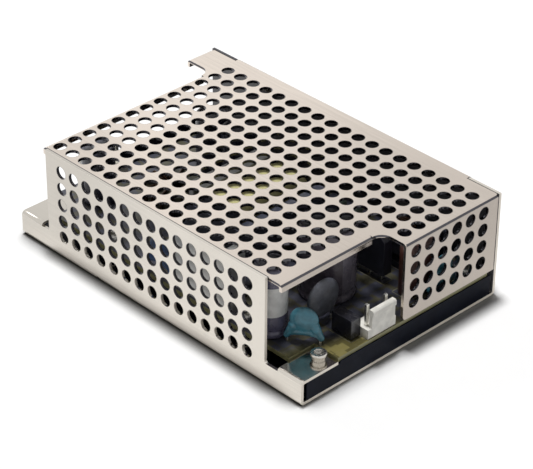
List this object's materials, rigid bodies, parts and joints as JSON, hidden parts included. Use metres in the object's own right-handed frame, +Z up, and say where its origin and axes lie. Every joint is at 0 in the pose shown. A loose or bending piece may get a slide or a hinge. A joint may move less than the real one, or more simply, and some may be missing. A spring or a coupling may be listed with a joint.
{
  "type": "enclosed switching power supply",
  "caption": "Low rectangular switching power supply: a folded chassis and a perforated cover enclose a circuit board with pin headers at both ends and an earth post on a front tab.",
  "frame": {"origin": "middle of the underside of the chassis, at the middle of the overall box", "axes": "+Z up, the front connector end faces -Y, the perforated chassis wall faces -X"},
  "size_m": [0.086, 0.128, 0.0374],
  "materials": {
    "chassis_sheet": "bright plated sheet",
    "cover_sheet": "bright plated sheet",
    "screw_zinc": "zinc plated",
    "post_nickel": "nickel plated",
    "insulation_film": "satin film",
    "board_laminate": "satin laminate",
    "header_nylon": "natural nylon",
    "tinned_metal": "bright tin",
    "black_moulding": "matt moulding",
    "power_moulding": "matt moulding",
    "teal_coating": "dipped coating",
    "blue_coating": "dipped coating",
    "dark_coating": "dipped coating",
    "brown_coating": "dipped coating",
    "input_sleeve": "shrunk sleeve",
    "bulk_sleeve": "shrunk sleeve",
    "output_sleeve": "shrunk sleeve",
    "ferrite": "matt sintered",
    "copper_wire": "enamelled",
    "winding_tape": "film tape",
    "heatsink_aluminium": "mill finish",
    "ring_coating": "satin coating",
    "resistor_coating": "matt coating"
  },
  "bodies": {
    "root": {"chassis": "chassis_sheet", "cover": "cover_sheet", "cover_screws": "screw_zinc", "earth_post": "post_nickel", "insulation_sheet": "insulation_film", "board_standoffs": "post_nickel", "circuit_board": "board_laminate", "board_screws": "screw_zinc", "front_header_housing": "header_nylon", "front_header_pins": "tinned_metal", "fuse": "black_moulding", "front_disc_capacitor": "teal_coating", "flange_disc_capacitor": "teal_coating", "near_disc_capacitor": "blue_coating", "inrush_thermistor": "dark_coating", "input_capacitor": "input_sleeve", "line_filter_capacitor": "brown_coating", "filter_choke_core": "ferrite", "filter_choke_base": "black_moulding", "filter_choke_windings": "copper_wire", "bridge_rectifier": "black_moulding", "bulk_capacitor": "bulk_sleeve", "primary_heatsink": "heatsink_aluminium", "switching_transistor": "power_moulding", "transistor_screws": "screw_zinc", "transformer_core": "ferrite", "transformer_bobbin": "black_moulding", "transformer_winding": "winding_tape", "secondary_heatsink": "heatsink_aluminium", "left_rectifier": "power_moulding", "right_rectifier": "power_moulding", "near_output_capacitor": "output_sleeve", "front_output_capacitor": "output_sleeve", "rear_output_capacitor": "output_sleeve", "output_choke_core": "ring_coating", "output_choke_winding": "copper_wire", "rear_header_housing": "header_nylon", "rear_header_pins": "tinned_metal", "controller_chip": "black_moulding", "optocoupler": "black_moulding", "power_resistors": "resistor_coating", "wire_leads": "tinned_metal"}
  },
  "joints": []
}
